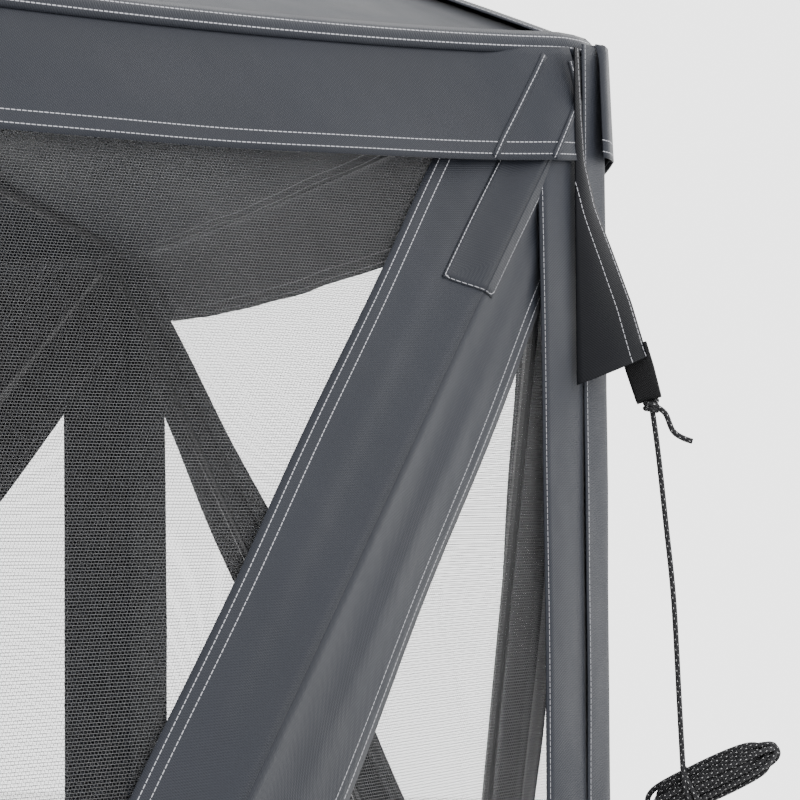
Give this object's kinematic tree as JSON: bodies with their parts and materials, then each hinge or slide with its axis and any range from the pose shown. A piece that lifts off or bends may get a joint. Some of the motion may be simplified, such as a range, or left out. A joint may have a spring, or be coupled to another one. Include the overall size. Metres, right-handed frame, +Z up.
{
  "type": "screen house",
  "caption": "Free-standing pop-up screen house with mesh walls, hub-and-pole frame, peaked canopy with a valance, corner sleeves, guy flaps, a zipped door and a hanked guy rope.",
  "frame": {"origin": "on the ground at the centre of the floor", "axes": "+Z up, +X through corner 1, which carries the guy rope; wall 1 lies between corners 1 and 2, going anticlockwise"},
  "size_m": [3.8637, 3.6096, 2.29],
  "materials": {
    "cloth": "satin woven polyester",
    "mesh": "fine insect mesh",
    "plastic": "moulded",
    "fibreglass": "pultruded rod",
    "cord": "braided"
  },
  "bodies": {
    "root": {"canopy": "cloth", "wall_1_screen": "mesh", "wall_2_screen": "mesh", "wall_3_screen": "mesh", "wall_4_screen": "mesh", "wall_5_screen": "mesh", "wall_6_screen": "mesh", "corner_1_sleeve": "cloth", "corner_2_sleeve": "cloth", "corner_3_sleeve": "cloth", "corner_4_sleeve": "cloth", "corner_5_sleeve": "cloth", "corner_6_sleeve": "cloth", "guy_flap_1": "cloth", "guy_flap_2": "cloth", "guy_flap_3": "cloth", "guy_flap_4": "cloth", "guy_flap_5": "cloth", "guy_flap_6": "cloth", "guy_rope": "cord", "guy_rope_hank": "cord"},
    "door_panel": {"door_panel": "mesh"},
    "door_zip_slider": {"door_zip_slider": "plastic"},
    "roof_hub": {"roof_hub": "plastic"},
    "wall_1_hub": {"wall_1_hub": "plastic"},
    "wall_1_pole_lower_left": {"wall_1_pole_lower_left": "fibreglass"},
    "wall_1_pole_upper_left": {"wall_1_pole_upper_left": "fibreglass"},
    "wall_1_pole_lower_right": {"wall_1_pole_lower_right": "fibreglass"},
    "wall_1_pole_upper_right": {"wall_1_pole_upper_right": "fibreglass"},
    "wall_2_hub": {"wall_2_hub": "plastic"},
    "wall_2_pole_lower_left": {"wall_2_pole_lower_left": "fibreglass"},
    "wall_2_pole_upper_left": {"wall_2_pole_upper_left": "fibreglass"},
    "wall_2_pole_lower_right": {"wall_2_pole_lower_right": "fibreglass"},
    "wall_2_pole_upper_right": {"wall_2_pole_upper_right": "fibreglass"},
    "wall_3_hub": {"wall_3_hub": "plastic"},
    "wall_3_pole_lower_left": {"wall_3_pole_lower_left": "fibreglass"},
    "wall_3_pole_upper_left": {"wall_3_pole_upper_left": "fibreglass"},
    "wall_3_pole_lower_right": {"wall_3_pole_lower_right": "fibreglass"},
    "wall_3_pole_upper_right": {"wall_3_pole_upper_right": "fibreglass"},
    "wall_4_hub": {"wall_4_hub": "plastic"},
    "wall_4_pole_lower_left": {"wall_4_pole_lower_left": "fibreglass"},
    "wall_4_pole_upper_left": {"wall_4_pole_upper_left": "fibreglass"},
    "wall_4_pole_lower_right": {"wall_4_pole_lower_right": "fibreglass"},
    "wall_4_pole_upper_right": {"wall_4_pole_upper_right": "fibreglass"},
    "wall_5_hub": {"wall_5_hub": "plastic"},
    "wall_5_pole_lower_left": {"wall_5_pole_lower_left": "fibreglass"},
    "wall_5_pole_upper_left": {"wall_5_pole_upper_left": "fibreglass"},
    "wall_5_pole_lower_right": {"wall_5_pole_lower_right": "fibreglass"},
    "wall_5_pole_upper_right": {"wall_5_pole_upper_right": "fibreglass"},
    "wall_6_hub": {"wall_6_hub": "plastic"},
    "wall_6_pole_lower_left": {"wall_6_pole_lower_left": "fibreglass"},
    "wall_6_pole_upper_left": {"wall_6_pole_upper_left": "fibreglass"},
    "wall_6_pole_lower_right": {"wall_6_pole_lower_right": "fibreglass"},
    "wall_6_pole_upper_right": {"wall_6_pole_upper_right": "fibreglass"},
    "roof_pole_1": {"roof_pole_1": "fibreglass"},
    "roof_pole_2": {"roof_pole_2": "fibreglass"},
    "roof_pole_3": {"roof_pole_3": "fibreglass"},
    "roof_pole_4": {"roof_pole_4": "fibreglass"},
    "roof_pole_5": {"roof_pole_5": "fibreglass"},
    "roof_pole_6": {"roof_pole_6": "fibreglass"}
  },
  "joints": [
    {"name": "wall_1_pop", "type": "slide", "parent": "root", "child": "wall_1_hub", "axis": [-0.866, -0.5, 0], "range_m": [0, 0.4139]},
    {"name": "wall_1_lower_left_swing", "type": "hinge", "parent": "root", "child": "wall_1_pole_lower_left", "pos_m": [1.79412, 0.01504, 0.03266], "axis": [0.3628, -0.6284, 0.6881], "range_deg": [0, 18.84]},
    {"name": "wall_1_upper_left_swing", "type": "hinge", "parent": "root", "child": "wall_1_pole_upper_left", "pos_m": [1.79412, 0.01504, 1.89735], "axis": [-0.3628, 0.6284, 0.6881], "range_deg": [0, 18.84]},
    {"name": "wall_1_lower_right_swing", "type": "hinge", "parent": "root", "child": "wall_1_pole_lower_right", "pos_m": [0.91008, 1.54623, 0.03266], "axis": [0.3628, -0.6284, -0.6881], "range_deg": [0, 18.84]},
    {"name": "wall_1_upper_right_swing", "type": "hinge", "parent": "root", "child": "wall_1_pole_upper_right", "pos_m": [0.91008, 1.54623, 1.89735], "axis": [-0.3628, 0.6284, -0.6881], "range_deg": [0, 18.84]},
    {"name": "wall_2_pop", "type": "slide", "parent": "root", "child": "wall_2_hub", "axis": [0, -1, 0], "range_m": [0, 0.4139]},
    {"name": "wall_2_lower_left_swing", "type": "hinge", "parent": "root", "child": "wall_2_pole_lower_left", "pos_m": [0.88404, 1.56127, 0.03266], "axis": [0.7257, 0, 0.6881], "range_deg": [0, 18.84]},
    {"name": "wall_2_upper_left_swing", "type": "hinge", "parent": "root", "child": "wall_2_pole_upper_left", "pos_m": [0.88404, 1.56127, 1.89735], "axis": [-0.7257, 0, 0.6881], "range_deg": [0, 18.84]},
    {"name": "wall_2_lower_right_swing", "type": "hinge", "parent": "root", "child": "wall_2_pole_lower_right", "pos_m": [-0.88404, 1.56127, 0.03266], "axis": [0.7257, 0, -0.6881], "range_deg": [0, 18.84]},
    {"name": "wall_2_upper_right_swing", "type": "hinge", "parent": "root", "child": "wall_2_pole_upper_right", "pos_m": [-0.88404, 1.56127, 1.89735], "axis": [-0.7257, 0, -0.6881], "range_deg": [0, 18.84]},
    {"name": "wall_3_pop", "type": "slide", "parent": "root", "child": "wall_3_hub", "axis": [0.866, -0.5, 0], "range_m": [0, 0.4139]},
    {"name": "wall_3_lower_left_swing", "type": "hinge", "parent": "root", "child": "wall_3_pole_lower_left", "pos_m": [-0.91008, 1.54623, 0.03266], "axis": [0.3628, 0.6284, 0.6881], "range_deg": [0, 18.84]},
    {"name": "wall_3_upper_left_swing", "type": "hinge", "parent": "root", "child": "wall_3_pole_upper_left", "pos_m": [-0.91008, 1.54623, 1.89735], "axis": [-0.3628, -0.6284, 0.6881], "range_deg": [0, 18.84]},
    {"name": "wall_3_lower_right_swing", "type": "hinge", "parent": "root", "child": "wall_3_pole_lower_right", "pos_m": [-1.79412, 0.01504, 0.03266], "axis": [0.3628, 0.6284, -0.6881], "range_deg": [0, 18.84]},
    {"name": "wall_3_upper_right_swing", "type": "hinge", "parent": "root", "child": "wall_3_pole_upper_right", "pos_m": [-1.79412, 0.01504, 1.89735], "axis": [-0.3628, -0.6284, -0.6881], "range_deg": [0, 18.84]},
    {"name": "wall_4_pop", "type": "slide", "parent": "root", "child": "wall_4_hub", "axis": [0.866, 0.5, 0], "range_m": [0, 0.4139]},
    {"name": "wall_4_lower_left_swing", "type": "hinge", "parent": "root", "child": "wall_4_pole_lower_left", "pos_m": [-1.79412, -0.01504, 0.03266], "axis": [-0.3628, 0.6284, 0.6881], "range_deg": [0, 18.84]},
    {"name": "wall_4_upper_left_swing", "type": "hinge", "parent": "root", "child": "wall_4_pole_upper_left", "pos_m": [-1.79412, -0.01504, 1.89735], "axis": [0.3628, -0.6284, 0.6881], "range_deg": [0, 18.84]},
    {"name": "wall_4_lower_right_swing", "type": "hinge", "parent": "root", "child": "wall_4_pole_lower_right", "pos_m": [-0.91008, -1.54623, 0.03266], "axis": [-0.3628, 0.6284, -0.6881], "range_deg": [0, 18.84]},
    {"name": "wall_4_upper_right_swing", "type": "hinge", "parent": "root", "child": "wall_4_pole_upper_right", "pos_m": [-0.91008, -1.54623, 1.89735], "axis": [0.3628, -0.6284, -0.6881], "range_deg": [0, 18.84]},
    {"name": "wall_5_pop", "type": "slide", "parent": "root", "child": "wall_5_hub", "axis": [0, 1, 0], "range_m": [0, 0.4139]},
    {"name": "wall_5_lower_left_swing", "type": "hinge", "parent": "root", "child": "wall_5_pole_lower_left", "pos_m": [-0.88404, -1.56127, 0.03266], "axis": [-0.7257, 0, 0.6881], "range_deg": [0, 18.84]},
    {"name": "wall_5_upper_left_swing", "type": "hinge", "parent": "root", "child": "wall_5_pole_upper_left", "pos_m": [-0.88404, -1.56127, 1.89735], "axis": [0.7257, 0, 0.6881], "range_deg": [0, 18.84]},
    {"name": "wall_5_lower_right_swing", "type": "hinge", "parent": "root", "child": "wall_5_pole_lower_right", "pos_m": [0.88404, -1.56127, 0.03266], "axis": [-0.7257, 0, -0.6881], "range_deg": [0, 18.84]},
    {"name": "wall_5_upper_right_swing", "type": "hinge", "parent": "root", "child": "wall_5_pole_upper_right", "pos_m": [0.88404, -1.56127, 1.89735], "axis": [0.7257, 0, -0.6881], "range_deg": [0, 18.84]},
    {"name": "wall_6_pop", "type": "slide", "parent": "root", "child": "wall_6_hub", "axis": [-0.866, 0.5, 0], "range_m": [0, 0.4139]},
    {"name": "wall_6_lower_left_swing", "type": "hinge", "parent": "root", "child": "wall_6_pole_lower_left", "pos_m": [0.91008, -1.54623, 0.03266], "axis": [-0.3628, -0.6284, 0.6881], "range_deg": [0, 18.84]},
    {"name": "wall_6_upper_left_swing", "type": "hinge", "parent": "root", "child": "wall_6_pole_upper_left", "pos_m": [0.91008, -1.54623, 1.89735], "axis": [0.3628, 0.6284, 0.6881], "range_deg": [0, 18.84]},
    {"name": "wall_6_lower_right_swing", "type": "hinge", "parent": "root", "child": "wall_6_pole_lower_right", "pos_m": [1.79412, -0.01504, 0.03266], "axis": [-0.3628, -0.6284, -0.6881], "range_deg": [0, 18.84]},
    {"name": "wall_6_upper_right_swing", "type": "hinge", "parent": "root", "child": "wall_6_pole_upper_right", "pos_m": [1.79412, -0.01504, 1.89735], "axis": [0.3628, 0.6284, -0.6881], "range_deg": [0, 18.84]},
    {"name": "roof_pop", "type": "slide", "parent": "root", "child": "roof_hub", "axis": [0, 0, -1], "range_m": [0, 0.6309]},
    {"name": "roof_1_swing", "type": "hinge", "parent": "root", "child": "roof_pole_1", "pos_m": [1.78, 0, 1.936], "axis": [0, -1, 0], "range_deg": [0, 21.01]},
    {"name": "roof_2_swing", "type": "hinge", "parent": "root", "child": "roof_pole_2", "pos_m": [0.89, 1.54153, 1.936], "axis": [0.866, -0.5, 0], "range_deg": [0, 21.01]},
    {"name": "roof_3_swing", "type": "hinge", "parent": "root", "child": "roof_pole_3", "pos_m": [-0.89, 1.54153, 1.936], "axis": [0.866, 0.5, 0], "range_deg": [0, 21.01]},
    {"name": "roof_4_swing", "type": "hinge", "parent": "root", "child": "roof_pole_4", "pos_m": [-1.78, 0, 1.936], "axis": [0, 1, 0], "range_deg": [0, 21.01]},
    {"name": "roof_5_swing", "type": "hinge", "parent": "root", "child": "roof_pole_5", "pos_m": [-0.89, -1.54153, 1.936], "axis": [-0.866, 0.5, 0], "range_deg": [0, 21.01]},
    {"name": "roof_6_swing", "type": "hinge", "parent": "root", "child": "roof_pole_6", "pos_m": [0.89, -1.54153, 1.936], "axis": [-0.866, -0.5, 0], "range_deg": [0, 21.01]},
    {"name": "door_swing", "type": "hinge", "parent": "root", "child": "door_panel", "pos_m": [-1.28328, -1.19701, 0.965], "axis": [0, 0, -1], "range_deg": [0, 100]},
    {"name": "door_zip", "type": "slide", "parent": "root", "child": "door_zip_slider", "axis": [0, 0, 1], "range_m": [0, 1.5]}
  ],
  "couplings": [
    {"joint": "wall_1_lower_left_swing", "follows": "wall_1_pop", "rad_per_m": 0.79229},
    {"joint": "wall_1_upper_left_swing", "follows": "wall_1_pop", "rad_per_m": 0.79229},
    {"joint": "wall_1_lower_right_swing", "follows": "wall_1_pop", "rad_per_m": 0.79229},
    {"joint": "wall_1_upper_right_swing", "follows": "wall_1_pop", "rad_per_m": 0.79229},
    {"joint": "wall_2_lower_left_swing", "follows": "wall_2_pop", "rad_per_m": 0.79229},
    {"joint": "wall_2_upper_left_swing", "follows": "wall_2_pop", "rad_per_m": 0.79229},
    {"joint": "wall_2_lower_right_swing", "follows": "wall_2_pop", "rad_per_m": 0.79229},
    {"joint": "wall_2_upper_right_swing", "follows": "wall_2_pop", "rad_per_m": 0.79229},
    {"joint": "wall_3_lower_left_swing", "follows": "wall_3_pop", "rad_per_m": 0.79229},
    {"joint": "wall_3_upper_left_swing", "follows": "wall_3_pop", "rad_per_m": 0.79229},
    {"joint": "wall_3_lower_right_swing", "follows": "wall_3_pop", "rad_per_m": 0.79229},
    {"joint": "wall_3_upper_right_swing", "follows": "wall_3_pop", "rad_per_m": 0.79229},
    {"joint": "wall_4_lower_left_swing", "follows": "wall_4_pop", "rad_per_m": 0.79229},
    {"joint": "wall_4_upper_left_swing", "follows": "wall_4_pop", "rad_per_m": 0.79229},
    {"joint": "wall_4_lower_right_swing", "follows": "wall_4_pop", "rad_per_m": 0.79229},
    {"joint": "wall_4_upper_right_swing", "follows": "wall_4_pop", "rad_per_m": 0.79229},
    {"joint": "wall_5_lower_left_swing", "follows": "wall_5_pop", "rad_per_m": 0.79229},
    {"joint": "wall_5_upper_left_swing", "follows": "wall_5_pop", "rad_per_m": 0.79229},
    {"joint": "wall_5_lower_right_swing", "follows": "wall_5_pop", "rad_per_m": 0.79229},
    {"joint": "wall_5_upper_right_swing", "follows": "wall_5_pop", "rad_per_m": 0.79229},
    {"joint": "wall_6_lower_left_swing", "follows": "wall_6_pop", "rad_per_m": 0.79229},
    {"joint": "wall_6_upper_left_swing", "follows": "wall_6_pop", "rad_per_m": 0.79229},
    {"joint": "wall_6_lower_right_swing", "follows": "wall_6_pop", "rad_per_m": 0.79229},
    {"joint": "wall_6_upper_right_swing", "follows": "wall_6_pop", "rad_per_m": 0.79229},
    {"joint": "roof_1_swing", "follows": "roof_pop", "rad_per_m": 0.57993},
    {"joint": "roof_2_swing", "follows": "roof_pop", "rad_per_m": 0.57993},
    {"joint": "roof_3_swing", "follows": "roof_pop", "rad_per_m": 0.57993},
    {"joint": "roof_4_swing", "follows": "roof_pop", "rad_per_m": 0.57993},
    {"joint": "roof_5_swing", "follows": "roof_pop", "rad_per_m": 0.57993},
    {"joint": "roof_6_swing", "follows": "roof_pop", "rad_per_m": 0.57993}
  ]
}
